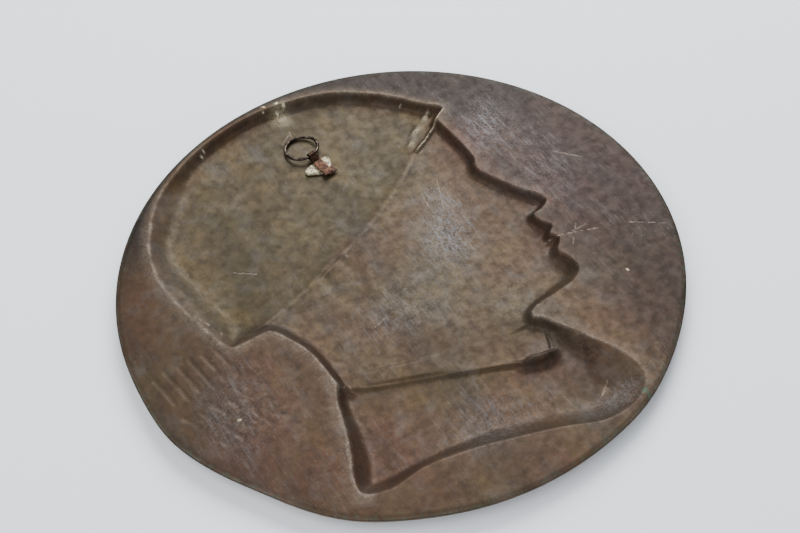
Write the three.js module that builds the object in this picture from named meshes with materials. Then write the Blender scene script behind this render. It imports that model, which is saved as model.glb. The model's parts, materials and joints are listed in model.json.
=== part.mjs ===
// A round bronze wall plaque with a profile bust in low relief, cast as one thin shell,
// so that its back is hollow where its front stands proud. It hangs on a nail by a wire
// ring, which a folded copper strap and a patch of solder hold in the hollow of the cap.
//
// Millimetres, +Z up. The relief faces -Y and the wall is on the +Y side. The origin is the
// point where the nail bears on the ring. Places on the plaque are [u, v]: right and up from
// the disc's centre, as seen from the front.

import * as THREE from 'three';

// The disc.
const discRadius = 140;
const plateThickness = 2.2;
const rimCount = 92;
const rimBevel = 1.4;
const rimFade = 5; // width inside the bevel over which the relief runs out
const rimRounding = 0.55;
const rimBends = [[-11, 1.7, 9], [-32, -1.2, 8], [-50, 1.4, 9], [-112, 1.0, 10]]; // angle, mm, spread

// The relief: how far each form rises above the field.
const frontGrowth = 0.9; // the front's forms are this much wider than the hollows behind them
const capRise = { edge: 4.4, crown: 2.8, reach: 44 };
const headRise = { edge: 3.5, crown: 1.9, reach: 26 };
const collarRise = { edge: 4.7, crown: 0.2, reach: 8 };
const coatRise = { edge: 5.6, crown: 0.8, reach: 26 };

// The two sides of the shell. A dished wall starts steeply at the outline and runs out level. The
// wall is wider in soft places: middle, spread and extra width.
const front = {
  grow: frontGrowth,
  step: 1.4,
  detail: 1,
  jawDrop: 1.7,
  dish: 0,
  wall: 3,
  softWalls: [{ at: [66, 116], spread: [26, 18], extra: 6 }],
};
const back = {
  grow: 0,
  step: 2.4,
  detail: 0.3,
  jawDrop: 0.5,
  dish: 0.6,
  wall: 4,
  softWalls: [
    { at: [106, 34], spread: [30, 42], extra: 22 }, // behind the cap
    { at: [82, 104], spread: [26, 22], extra: 10 },
    { at: [-66, -54], spread: [16, 14], extra: 4 }, // chin
    { at: [68, -18], spread: [14, 26], extra: 4 }, // nape
    { at: [78, -78], spread: [18, 24], extra: 9 }, // back of the coat
    { at: [-58, -98], spread: [18, 28], extra: 14 }, // front of the coat
  ],
};

// Where the mesh has its rows of points, measured inwards from an outline: down a wall that
// ends the bust, down one that is soft and wide, and over a step between two of its forms.
const wallOffsets = [-frontGrowth, 0.3, 1.7, front.wall];
const wideWallOffsets = [-frontGrowth, 0.3, 1, 1.7, 2.4, front.wall];
const stepOffsets = [-0.6, 1.2];

// The face keeps to plain proportions: three equal thirds from hairline to chin.
const faceThird = 48;
const browLevel = 40;
const facePlane = -72;

// The hanger.
const wireRadius = 0.85;
const ringRadius = 8.85;
const ringCentre = [-1.6, 102.2];
const ringJoint = { angle: 190, gap: 0.35, offset: 0.5 }; // degrees round the ring, mm, mm
const strapLean = 10.5; // degrees
const strapWidth = { eye: 4.3, tail: 5.6 };
const strapLength = 16.6;
const leafThickness = 0.55;
const eyeRadius = 1.35;
const touchGap = 0.3;
const solderThickness = 0.5;
const solderLobe = 0.8;

const radians = THREE.MathUtils.degToRad;
const clamp = THREE.MathUtils.clamp;

// Outlines: the points a smooth closed curve passes through.
const capOutline = smoothLoop([
  [92, 2.5], [97, 16], [101, 34], [103.5, 54], [101.5, 72], [94, 90], [80, 109], [60, 123],
  [36, 132], [8, 135.5], [-16, 132], [-33, 126], [-48, 115.5], [-62, 101.5], [-71, 89.5], [-78, 81],
  [-71, 75.5], [-50, 63], [-32, 50], [-12, 38], [8, 29], [26, 22], [46, 15], [62, 10.5], [78, 7],
]);

// Forehead to chin, as mm in front of the face plane and thirds below the brow.
const faceProfile = [
  [-3, -0.95], [-0.5, -0.5], [0, -0.2], [-0.5, 0], [-3.5, 0.14], [0, 0.36], [6, 0.62], [13, 0.86],
  [13.5, 0.95], [8, 1.02], [2.5, 1.04], [3.2, 1.18], [5.8, 1.27], [2, 1.35], [4.2, 1.44], [2.4, 1.5],
  [-1.2, 1.58], [1.2, 1.75], [0.5, 1.9], [-6, 1.99], [-16, 2.02],
].map(([out, thirds]) => [facePlane - out, browLevel - thirds * faceThird]);

const headOutline = smoothLoop([
  ...faceProfile,
  [-38, -60], [-36, -74], [10, -88], [46, -72], [60, -46], [61, -34], [62.5, -20], [67, -8],
  [72, 0.5], [82, 1.5], [93, 3], [92, 40], [70, 96], [20, 122], [-40, 112], [-66, 90],
]);

const collarOutline = smoothLoop([
  [57, -38], [44, -41], [20, -49], [-2, -56], [-22, -61], [-37, -63], [-43, -70], [-40, -84],
  [-26, -82.5], [-11, -75], [9, -66.5], [29, -58], [49, -50], [61, -46],
]);

const coatOutline = smoothLoop([
  [60, -44], [65.5, -52], [69, -64], [75, -80], [80, -91], [81, -100], [70, -105], [50, -104],
  [28, -108], [8, -114], [-12, -121], [-32, -129], [-52, -127], [-61, -117], [-60, -104],
  [-51, -85], [-45, -74], [-40, -67], [-30, -83], [-11, -75], [9, -66.5], [29, -58], [49, -50],
]);

const jawLine = [[-62, -58], [-40, -55.5], [-16, -46], [2, -33], [12, -16], [16, 0]];

// Shallow strokes beside the bust: first and last place of a row, and what it holds.
const strokeRows = [
  { from: [98, -3], to: [130, -3], count: 6, length: 21, lean: 8 },
  { from: [99, -25], to: [127, -25], count: 5, length: 8, lean: 24 },
  { from: [98, -42], to: [120, -42], count: 4, length: 8, lean: 24 },
  { from: [-97, 2], to: [-127, 2], count: 5, length: 12, lean: 24 },
  { from: [-92, -36], to: [-118, -36], count: 4, length: 9, lean: 24 },
  { from: [-86, -62], to: [-108, -62], count: 4, length: 8, lean: 24 },
];
const button = { at: [-48, -93], radius: 5, height: 1.1 };
const strokeHalfWidth = 2;
const strokeRise = 0.9;
const strokes = strokeRows.flatMap(rowStrokes);

// A row's strokes all lean one way, and every other one is shorter, so that they stay plain marks.
function rowStrokes({ from, to, count, length, lean }) {
  return Array.from({ length: count }, (_, i) => {
    const share = i / (count - 1);
    const u = from[0] + (to[0] - from[0]) * share;
    const v = from[1] + (to[1] - from[1]) * share;
    const long = i % 2 ? length * 0.8 : length;
    const half = [Math.sin(radians(lean)) * long / 2, Math.cos(radians(lean)) * long / 2];
    return { a: [u - half[0], v - half[1]], b: [u + half[0], v + half[1]], length: long };
  });
}

function smoothLoop(points) {
  const corners = points.map(([u, v]) => new THREE.Vector3(u, v, 0));
  const curve = new THREE.CatmullRomCurve3(corners, true, 'centripetal');
  return curve.getPoints(points.length * 7).slice(0, -1).map(({ x, y }) => [x, y]);
}

function segmentDistance([u, v], [au, av], [bu, bv]) {
  const length2 = (bu - au) ** 2 + (bv - av) ** 2;
  const share = clamp(((u - au) * (bu - au) + (v - av) * (bv - av)) / length2, 0, 1);
  return Math.hypot(u - au - share * (bu - au), v - av - share * (bv - av));
}

// Distance to a closed outline, positive inside it.
function depthInside(point, loop) {
  let nearest = Infinity;
  let inside = false;
  loop.forEach((a, i) => {
    const b = loop[(i + 1) % loop.length];
    nearest = Math.min(nearest, segmentDistance(point, a, b));
    const crosses = a[1] > point[1] !== b[1] > point[1];
    if (crosses && point[0] < a[0] + (b[0] - a[0]) * (point[1] - a[1]) / (b[1] - a[1])) inside = !inside;
  });
  return inside ? nearest : -nearest;
}

function rise(share) {
  const s = clamp(share, 0, 1);
  return s * s * (3 - 2 * s);
}

function swell(depth, { edge, crown, reach }) {
  const s = 1 - clamp(depth / reach, 0, 1);
  return edge + crown * Math.sqrt(1 - s * s);
}

// A rounded bump or dent: height at its middle, and its spread along u and v.
function bump([u, v], [cu, cv], [su, sv], height) {
  return height * Math.exp(-(((u - cu) / su) ** 2) - ((v - cv) / sv) ** 2);
}

function fold(point, from, to, width, height) {
  return height * Math.exp(-((segmentDistance(point, from, to) / width) ** 2));
}

function headHeight(point, depth, side) {
  const [u, v] = point;
  const level = (thirds) => browLevel - thirds * faceThird;
  let height = swell(depth, headRise);
  const jaw = Math.min(...jawLine.slice(1).map((b, i) => segmentDistance(point, jawLine[i], b)));
  const jawLevel = v < jawAt(u) ? 1 : -1;
  const jawEnds = rise((u + 68) / 14) * (1 - rise((u - 8) / 16));
  height -= side.jawDrop * rise(0.5 + jawLevel * jaw / 9) * jawEnds;
  height += bump(point, [-34, level(0.78)], [20, 22], 0.9); // cheek
  height += bump(point, [-64, level(-0.06)], [11, 4.5], 0.7); // brow
  height += bump(point, [-60, level(0.2)], [8, 6.5], -1.3 * side.detail); // eye socket
  height += bump(point, [-57.5, level(0.17)], [5.5, 3.4], 1.1 * side.detail); // eye
  height += bump(point, [-74, level(0.93)], [4.5, 4.5], 1.1 * side.detail); // wing of the nose
  height += bump(point, [-64, level(0.85)], [4, 9], -0.6 * side.detail);
  height += bump(point, [-70, level(1.27)], [7, 2.6], 0.7 * side.detail); // lips
  height += bump(point, [-69, level(1.45)], [6.5, 2.8], 0.7 * side.detail);
  height += bump(point, [-66, level(1.77)], [7, 6.5], 0.8); // chin
  return height + earHeight(point, side);
}

function jawAt(u) {
  const next = Math.max(1, jawLine.findIndex((corner) => corner[0] >= u));
  const [a, b] = [jawLine[next - 1], jawLine[next]];
  return u > jawLine.at(-1)[0] ? Infinity : a[1] + (b[1] - a[1]) * (u - a[0]) / (b[0] - a[0]);
}

function earHeight([u, v], side) {
  const out = Math.hypot((u - 25) / 9.5, (v - 12) / 20);
  const shell = Math.exp(-(((out - 0.82) / 0.3) ** 2));
  return side.detail * (1.5 * shell + 0.5 * (1 - rise((out - 0.6) / 0.5)));
}

function capHeight(point, depth, side) {
  const soft = side.detail * rise(depth / 12);
  return swell(depth, capRise)
    + fold(point, [-58, 76], [30, 108], 7, -0.7 * soft)
    + fold(point, [-30, 56], [70, 92], 6, -0.6 * soft)
    + fold(point, [10, 34], [86, 66], 6, -0.7 * soft)
    + fold(point, [48, 18], [92, 40], 5, -0.5 * soft);
}

function coatHeight(point, depth, side) {
  const soft = side.detail * rise(depth / 10);
  return swell(depth, coatRise)
    + fold(point, [40, -58], [62, -98], 4, -0.8 * soft)
    + fold(point, [8, -72], [30, -104], 5, -0.8 * soft)
    + fold(point, [-28, -86], [-10, -116], 4, -0.8 * soft)
    + button.height * rise((button.radius - Math.hypot(point[0] - button.at[0], point[1] - button.at[1])) / 2.4);
}

function over(height, upper, depth, side) {
  return height + (upper - height) * rise((depth + side.grow / 2) / side.step);
}

// Width of the wall beside an outline: widest at the foot of the coat.
function wallAt(point, side) {
  const soft = side.softWalls.reduce((sum, { at, spread, extra }) => sum + bump(point, at, spread, extra), 0);
  return side.wall + soft + 10 * rise((-92 - point[1]) / 14);
}

function layerDepths(point) {
  return {
    head: depthInside(point, headOutline),
    cap: depthInside(point, capOutline),
    collar: depthInside(point, collarOutline),
    coat: depthInside(point, coatOutline),
  };
}

function strokeHeight(point) {
  const nearest = Math.min(...strokes.map(({ a, b }) => segmentDistance(point, a, b)));
  return strokeRise * rise(1 - nearest / strokeHalfWidth);
}

// Height of the relief above the field on one side of the shell.
function reliefHeight(point, side) {
  const depths = layerDepths(point);
  const outline = Math.max(...Object.values(depths));
  if (outline + side.grow <= 0) return strokeHeight(point) * side.detail;
  let height = headHeight(point, Math.max(outline, 0), side);
  height = over(height, swell(Math.max(depths.collar, 0), collarRise), depths.collar, side);
  height = over(height, coatHeight(point, Math.max(depths.coat, 0), side), depths.coat, side);
  height = over(height, capHeight(point, Math.max(depths.cap, 0), side), depths.cap, side);
  const nearRim = rise((fromRim(point) - rimBevel) / rimFade);
  return height * nearRim * wallShare((outline + side.grow) / wallAt(point, side), side);
}

function wallShare(share, side) {
  const s = clamp(share, 0, 1);
  return side.dish * s * (2 - s) + (1 - side.dish) * rise(s);
}

function rimRadius(angle) {
  return rimBends.reduce((radius, [at, size, spread]) => {
    const away = THREE.MathUtils.euclideanModulo(angle - at + 180, 360) - 180;
    return radius + size * Math.exp(-((away / spread) ** 2));
  }, discRadius);
}

// Distance of a point inwards from the rim.
function fromRim([u, v]) {
  return rimRadius(THREE.MathUtils.radToDeg(Math.atan2(v, u))) - Math.hypot(u, v);
}

function rimPoint(index, inset) {
  const angle = 360 * index / rimCount;
  const radius = rimRadius(angle) - inset;
  return [radius * Math.cos(radians(angle)), radius * Math.sin(radians(angle))];
}

// Points spaced along an outline, each with the direction that leads inside.
function spacedAlong(loop, spacing) {
  let travelled = 0;
  return loop.flatMap((a, i) => {
    const b = loop[(i + 1) % loop.length];
    const length = Math.hypot(b[0] - a[0], b[1] - a[1]);
    travelled += length;
    if (travelled < spacing(a)) return [];
    travelled = 0;
    const left = [-(b[1] - a[1]) / length, (b[0] - a[0]) / length];
    const side = depthInside([a[0] + left[0] * 0.1, a[1] + left[1] * 0.1], loop) > 0 ? 1 : -1;
    return [{ at: a, inward: [left[0] * side, left[1] * side] }];
  });
}

// Rows of points beside each outline keep its wall crisp, where a later form doesn't cover it.
function outlineRows() {
  const loops = [headOutline, collarOutline, coatOutline, capOutline];
  return loops.flatMap((loop, layer) => spacedAlong(loop, outlineSpacing).flatMap(({ at, inward }) => {
    const covered = loops.slice(layer + 1).some((later) => depthInside(at, later) > 0.5);
    if (covered) return [];
    const onForm = loops.slice(0, layer).some((earlier) => depthInside(at, earlier) > 1.5);
    const share = Math.min(wallAt(at, back) / front.wall, 6);
    const rows = share > 1.9 ? wideWallOffsets : wallOffsets;
    const offsets = onForm ? stepOffsets : rows.map((offset) => offset * (offset > 0 ? share : 1));
    return offsets
      .map((offset) => [at[0] + inward[0] * offset, at[1] + inward[1] * offset, offset])
      .filter(([u, v, offset]) => Math.abs(depthInside([u, v], loop) - offset) < 0.25)
      .map(([u, v]) => [u, v]);
  }));
}

function buttonPoints() {
  return [button.radius, button.radius - 2.4, 0].flatMap((radius) => Array.from({ length: 8 }, (_, i) => [
    button.at[0] + radius * Math.cos(i * Math.PI / 4), button.at[1] + radius * Math.sin(i * Math.PI / 4),
  ]));
}

function strokePoints() {
  return strokes.flatMap(({ a, b, length }) => {
    const along = [(b[0] - a[0]) / length, (b[1] - a[1]) / length];
    const steps = Math.round(length / 7);
    const place = (forward, sideways) => [
      a[0] + along[0] * forward + along[1] * sideways, a[1] + along[1] * forward - along[0] * sideways,
    ];
    const rows = Array.from({ length: steps + 1 }, (_, i) => i * length / steps).flatMap((forward) => (
      [place(forward, -strokeHalfWidth), place(forward, 0), place(forward, strokeHalfWidth)]
    ));
    return [...rows, place(-strokeHalfWidth, 0), place(length + strokeHalfWidth, 0)];
  });
}

function outlineSpacing([u, v]) {
  return u < -55 && v < 74 && v > -60 ? 2.4 : 4.4;
}

// Spacing of the points that fill the plaque between the rows.
function fillSpacing(point) {
  const depths = layerDepths(point);
  if (depths.cap > 0) return 8.5;
  if (depths.coat > 0 || depths.collar > 0) return 7;
  if (depths.head < 0) return 17;
  const [u, v] = point;
  const features = u < -44 && v < 62;
  const ear = Math.abs(u - 25) < 14 && v > -14;
  return features || ear ? 3.6 : 6.4;
}

function plaquePoints() {
  const points = [];
  const add = (candidates, room) => candidates.forEach((candidate) => {
    const [u, v] = candidate;
    if (fromRim(candidate) < rimBevel + 0.9) return;
    if (points.every((point) => Math.hypot(point[0] - u, point[1] - v) > room)) points.push(candidate);
  });
  add(outlineRows(), 0.95);
  add(buttonPoints(), 0.95);
  add(strokePoints(), 1.2);
  [3.6, 6.4, 7, 8.5, 17].forEach((spacing) => {
    const fill = hexGrid(spacing).filter((point) => fillSpacing(point) === spacing);
    add(fill, spacing * 0.72);
  });
  return points;
}

function hexGrid(spacing) {
  const rowHeight = spacing * Math.sqrt(3) / 2;
  const rowCount = Math.ceil(2 * discRadius / rowHeight);
  const columnCount = Math.ceil(2 * discRadius / spacing);
  return Array.from({ length: rowCount * columnCount }, (_, i) => {
    const row = Math.floor(i / columnCount);
    const column = i % columnCount + (row % 2) / 2;
    return [column * spacing - discRadius, row * rowHeight - discRadius];
  });
}

// Delaunay triangles of flat points, as three indices each, anticlockwise. A hair of scatter
// keeps any four points off one circle.
function triangulate(points) {
  const far = 40 * discRadius;
  const scattered = points.map(([u, v], i) => [u + 1e-3 * Math.sin(i * 12.9), v + 1e-3 * Math.sin(i * 78.2)]);
  const all = [...scattered, [-far, -far], [far, -far], [0, far]];
  const count = points.length;
  let triangles = [circled(all, [count, count + 1, count + 2])];
  scattered.forEach(([u, v], index) => {
    const edges = new Map();
    triangles = triangles.filter(({ corners, centre, reach }) => {
      if (Math.hypot(u - centre[0], v - centre[1]) >= reach) return true;
      corners.forEach((a, i) => {
        const b = corners[(i + 1) % 3];
        if (!edges.delete(`${b},${a}`)) edges.set(`${a},${b}`, [a, b]);
      });
      return false;
    });
    edges.forEach(([a, b]) => triangles.push(circled(all, [a, b, index])));
  });
  return triangles.map(({ corners }) => corners).filter((corners) => corners.every((i) => i < count));
}

// A triangle with the circle through its corners.
function circled(points, corners) {
  const [[au, av], [bu, bv], [cu, cv]] = corners.map((i) => points[i]);
  const [pu, pv, qu, qv] = [bu - au, bv - av, cu - au, cv - av];
  const twice = 2 * (pu * qv - pv * qu);
  const x = (qv * (pu * pu + pv * pv) - pv * (qu * qu + qv * qv)) / twice;
  const y = (pu * (qu * qu + qv * qv) - qu * (pu * pu + pv * pv)) / twice;
  return { corners, centre: [au + x, av + y], reach: Math.hypot(x, y) };
}

// A closed shell over flat points: a front skin, a back skin and the wall round the rim,
// whose points come first, anticlockwise.
function shellGeometry(points, rimLength, frontY, backY) {
  const positions = [
    ...points.flatMap((point) => [point[0], frontY(point), point[1]]),
    ...points.flatMap((point) => [point[0], backY(point), point[1]]),
  ];
  const behind = points.length;
  const faces = triangulate(points).filter((corners) => corners.some((i) => i >= rimLength));
  const skins = faces.flatMap(([a, b, c]) => [a, b, c, a + behind, c + behind, b + behind]);
  const wall = Array.from({ length: rimLength }, (_, a) => [a, (a + 1) % rimLength])
    .flatMap(([a, b]) => [b, a, a + behind, b, a + behind, b + behind]);
  const geometry = new THREE.BufferGeometry();
  geometry.setAttribute('position', new THREE.Float32BufferAttribute(positions, 3));
  geometry.setIndex([...skins, ...wall]);
  geometry.computeVertexNormals();
  return geometry;
}

// Both skins draw in at the rim, which rounds its edges.
function rimDraw(point) {
  return rimRounding * rise(1 - fromRim(point) / rimBevel);
}

function plaqueGeometry() {
  const rims = [0, rimBevel].flatMap((inset) => Array.from({ length: rimCount }, (_, i) => rimPoint(i, inset)));
  const points = [...rims, ...plaquePoints()];
  const frontY = (point) => fieldY - plateThickness - reliefHeight(point, front) + rimDraw(point);
  const backY = (point) => fieldY - reliefHeight(point, back) - rimDraw(point);
  return shellGeometry(points, rimCount, frontY, backY);
}

// The ring is bent wire, its ends butted a little out of line.
class RingCurve extends THREE.Curve {
  getPoint(share) {
    const gap = ringJoint.gap / ringRadius;
    const angle = radians(ringJoint.angle) + gap / 2 + share * (2 * Math.PI - gap);
    const shift = ringJoint.offset * rise((share - 0.9) / 0.1);
    return new THREE.Vector3(ringRadius * Math.cos(angle), shift, ringRadius * Math.sin(angle));
  }
}

function circleShape(radius, sides) {
  return new THREE.Shape(new THREE.Path().absarc(0, 0, radius, 0, 2 * Math.PI).getSpacedPoints(sides).slice(1));
}

function ringGeometry() {
  const options = { steps: 30, extrudePath: new RingCurve() };
  return new THREE.ExtrudeGeometry(circleShape(wireRadius, 8), options);
}

// The strap seen edge on: an eye round the wire, and its two leaves pressed into one tail.
// The eye is at the shape's origin, the tail runs down and the plaque is on the left.
function strapGeometry() {
  const outer = eyeRadius + leafThickness;
  const tailFace = 2 * leafThickness - outer;
  const shape = new THREE.Shape();
  shape.moveTo(-outer, -strapLength);
  shape.lineTo(tailFace, -strapLength);
  shape.lineTo(tailFace, -outer - 2.2);
  shape.absarc(0, 0, outer, radians(-28), Math.PI);
  shape.lineTo(-outer, -strapLength);
  shape.holes.push(new THREE.Path().absarc(0, 0, eyeRadius, 0, 2 * Math.PI));
  const geometry = new THREE.ExtrudeGeometry(shape, { depth: 1, curveSegments: 10, bevelEnabled: false });
  const place = geometry.getAttribute('position');
  for (let i = 0; i < place.count; i += 1) {
    const down = -place.getY(i);
    const width = strapWidth.eye + (strapWidth.tail - strapWidth.eye) * rise((down - outer) / 5);
    place.setXYZ(i, (place.getZ(i) - 0.5) * width, place.getX(i), place.getY(i));
  }
  geometry.computeVertexNormals();
  return geometry;
}

// Solder under the strap's tail, with a lobe on each side of it.
function solderGeometry() {
  const rim = Array.from({ length: 24 }, (_, i) => {
    const angle = 2 * Math.PI * i / 24;
    const lobes = 6.4 + 1.3 * Math.cos(2 * angle) + 0.7 * Math.sin(3 * angle + 1) + 0.4 * Math.cos(5 * angle);
    return [lobes * Math.cos(angle), 1.05 * lobes * Math.sin(angle)];
  });
  const inner = rim.map(([u, v]) => [u * 0.72, v * 0.72]);
  const middle = [-3.2, 0, 3.2].flatMap((u) => [-3, 0, 3].map((v) => [u, v]));
  const lobe = ([u]) => solderThickness + solderLobe * rise((Math.abs(u) - 3.1) / 1);
  const onRim = new Set(rim);
  const floor = () => 0;
  return shellGeometry([...rim, ...inner, ...middle], rim.length, floor, (point) => (
    onRim.has(point) ? solderThickness : lobe(point)
  ));
}

function material(colour, roughness) {
  return new THREE.MeshStandardMaterial({ color: colour, roughness, metalness: 0.85 });
}

function piece(name, geometry, finish) {
  const mesh = new THREE.Mesh(geometry, finish);
  mesh.name = name;
  return mesh;
}

// The hanger is stacked on the floor of the cap's hollow: solder, strap, and the ring in its
// eye, leaning over until its top almost touches the floor.
const hollowDepth = reliefHeight([ringCentre[0], ringCentre[1] + ringRadius], back);
const eyeHeight = touchGap + solderThickness + touchGap + eyeRadius + leafThickness;
const ringTopHeight = touchGap + wireRadius;
const ringLean = Math.asin((eyeHeight - ringTopHeight) / (2 * ringRadius));
const fieldY = hollowDepth - ringTopHeight; // the nail bears where the wire's middle is at Y = 0
const floorY = fieldY - hollowDepth;
const eye = [
  ringCentre[0] - ringRadius * Math.sin(radians(strapLean)),
  ringCentre[1] - ringRadius * Math.cos(radians(strapLean)),
];
const nail = [ringCentre[0], ringCentre[1] + ringRadius * Math.cos(ringLean) - wireRadius];

const group = new THREE.Group();
group.position.set(-nail[0], 0, -nail[1]);
group.add(piece('plaque', plaqueGeometry(), material('#6e5a4c', 0.5)));

const hanger = new THREE.Group();
hanger.position.set(eye[0], floorY + eyeHeight, eye[1]);
hanger.rotation.y = radians(strapLean);
group.add(hanger);

hanger.add(piece('hanger_strap', strapGeometry(), material('#a8705a', 0.45)));

const solder = piece('solder', solderGeometry(), material('#c9c2ae', 0.6));
solder.position.set(0.4, touchGap - eyeHeight, -8.2);
hanger.add(solder);

const ring = piece('hanging_ring', ringGeometry(), material('#4a4038', 0.35));
ring.position.set(0, -ringRadius * Math.sin(ringLean), ringRadius * Math.cos(ringLean));
ring.rotation.x = ringLean;
hanger.add(ring);

export default group;
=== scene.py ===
import json
import math
import bpy
import numpy as np
from mathutils import Matrix, Vector, noise


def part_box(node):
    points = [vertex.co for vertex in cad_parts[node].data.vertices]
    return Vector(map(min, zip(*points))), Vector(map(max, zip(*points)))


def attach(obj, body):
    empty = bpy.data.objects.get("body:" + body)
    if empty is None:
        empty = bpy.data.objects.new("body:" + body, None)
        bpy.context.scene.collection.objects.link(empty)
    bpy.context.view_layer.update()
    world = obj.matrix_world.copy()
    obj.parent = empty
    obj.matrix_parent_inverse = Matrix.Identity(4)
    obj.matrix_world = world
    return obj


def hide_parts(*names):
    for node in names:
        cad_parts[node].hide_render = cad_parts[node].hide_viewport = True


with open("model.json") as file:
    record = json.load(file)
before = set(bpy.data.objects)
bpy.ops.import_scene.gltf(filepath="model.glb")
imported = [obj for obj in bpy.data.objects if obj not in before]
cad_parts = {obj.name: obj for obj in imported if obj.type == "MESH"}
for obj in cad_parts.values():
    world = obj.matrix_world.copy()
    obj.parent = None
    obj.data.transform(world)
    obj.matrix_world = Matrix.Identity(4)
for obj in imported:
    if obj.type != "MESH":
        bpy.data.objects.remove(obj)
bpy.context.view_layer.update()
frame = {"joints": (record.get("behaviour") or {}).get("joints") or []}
mm = 0.001

# The disc as the CAD has it. A place on it is (u, v) in mm: right and up from its centre, seen from the
# front.
discRadius = 140.0
plateThickness = 2.2
plaqueLow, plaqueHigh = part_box("plaque")
fieldY = plaqueHigh.y                                  # the flat back field, nearest the wall
centreX = plaqueLow.x + discRadius * mm
centreZ = plaqueHigh.z - discRadius * mm


def toLinear(code):
    channels = [int(code[i:i + 2], 16) / 255 for i in (1, 3, 5)]
    return [c / 12.92 if c <= 0.04045 else ((c + 0.055) / 1.055) ** 2.4 for c in channels] + [1.0]


def rise(share):
    s = np.clip(share, 0, 1)
    return s * s * (3 - 2 * s)


def makeActive(piece):
    if bpy.context.object and bpy.context.object.mode != "OBJECT":
        bpy.ops.object.mode_set(mode="OBJECT")
    bpy.ops.object.select_all(action="DESELECT")
    piece.select_set(True)
    bpy.context.view_layer.objects.active = piece


def deselectAll():
    bpy.ops.object.select_all(action="DESELECT")


def selectFaces(piece, chosen):                        # leaves the piece in edit mode
    makeActive(piece)
    bpy.ops.object.mode_set(mode="EDIT")
    bpy.ops.mesh.select_mode(type="FACE")
    bpy.ops.mesh.select_all(action="DESELECT")
    bpy.ops.object.mode_set(mode="OBJECT")
    piece.data.polygons.foreach_set("select", np.asarray(chosen, bool))
    bpy.ops.object.mode_set(mode="EDIT")


def readPoints(piece):
    points = np.empty(len(piece.data.vertices) * 3)
    piece.data.vertices.foreach_get("co", points)
    return points.reshape(-1, 3)


def writePoints(piece, points):
    piece.data.vertices.foreach_set("co", np.asarray(points, float).ravel())
    piece.data.update()


def faceMiddles(piece):
    middles = np.empty(len(piece.data.polygons) * 3)
    piece.data.polygons.foreach_get("center", middles)
    return middles.reshape(-1, 3)


def giveAttribute(piece, name, values):
    attribute = piece.data.attributes.new(name, "FLOAT", "POINT")
    attribute.data.foreach_set("value", np.asarray(values, np.float32))


def finishPiece(piece, name, material, sharpAngle=45):
    makeActive(piece)
    bpy.ops.object.transform_apply(location=True, rotation=True, scale=True)
    bpy.ops.object.shade_smooth_by_angle(angle=math.radians(sharpAngle))
    piece.name = piece.data.name = name
    piece.data.materials.clear()
    piece.data.materials.append(material)
    return piece


def applyModifier(piece, kind, **settings):
    makeActive(piece)
    modifier = piece.modifiers.new(kind.title(), kind)
    for key, value in settings.items():
        setattr(modifier, key, value)
    bpy.ops.object.modifier_apply(modifier=modifier.name)


# The camera looks at the back as the plaque lies face down. "turn" is how far the plaque's upright is turned
# from the camera's, and "height" how steeply the camera looks down.
view = {"turn": 28.0, "height": 50.88, "roll": -4.97, "distance": 0.6907, "lens": 63.0, "aim": (-0.4, -0.8)}


def onDisc(u, v, above=0.0):
    return Vector((centreX + u * mm, fieldY + above * mm, centreZ + v * mm))


def lyingAxes():                                       # right, away and up, as the plaque lies face down
    turn = math.radians(view["turn"])
    right = Vector((-math.cos(turn), 0, -math.sin(turn)))
    away = Vector((-math.sin(turn), 0, math.cos(turn)))
    return Matrix((right, away, Vector((0, 1, 0)))).transposed()


def makeCamera():
    tilt = Matrix.Rotation(math.radians(90 - view["height"]), 3, "X")
    roll = Matrix.Rotation(math.radians(view["roll"]), 3, "Z")
    turned = lyingAxes() @ tilt @ roll
    place = onDisc(*view["aim"]) + turned @ Vector((0, 0, view["distance"]))
    bpy.ops.object.camera_add(location=place, rotation=turned.to_euler())
    camera = bpy.context.object
    camera.data.lens = view["lens"]
    camera.data.sensor_width = 36
    camera.data.clip_start = 0.01
    bpy.context.scene.camera = camera


makeCamera()
print("camera placed")


# The forms of the relief, in mm. An outline is the points that a smooth closed curve passes through.
forms = {
    "cap": {"edge": 4.4, "crown": 2.8, "reach": 44},
    "head": {"edge": 3.5, "crown": 1.9, "reach": 26},
    "collar": {"edge": 4.7, "crown": 0.2, "reach": 8},
    "coat": {"edge": 5.6, "crown": 0.8, "reach": 26},
    "rimBends": ((-11, 1.7, 9), (-32, -1.2, 8), (-50, 1.4, 9), (-112, 1.0, 10)),    # degrees, mm, spread
    "rimRounding": 0.55, "rimBevel": 1.4, "rimFade": 5.0,
    "buttonAt": (-48, -93), "buttonRadius": 5, "buttonHeight": 1.1,
    "front": {"grow": 0.9, "step": 1.4, "detail": 1.0, "jawDrop": 1.7, "dish": 0.0, "wall": 3.0,
              "softWalls": (((66, 116), (26, 18), 6),)},
    "back": {"grow": 0.0, "step": 2.4, "detail": 0.3, "jawDrop": 0.5, "dish": 0.6, "wall": 4.0,
             "softWalls": (((106, 34), (30, 42), 22), ((82, 104), (26, 22), 10), ((-66, -54), (16, 14), 4),
                           ((68, -18), (14, 26), 4), ((78, -78), (18, 24), 9), ((-58, -98), (18, 28), 14))},
}

# The face keeps to plain proportions: three equal thirds from hairline to chin.
face = {"third": 48, "brow": 40, "plane": -72}


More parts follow.
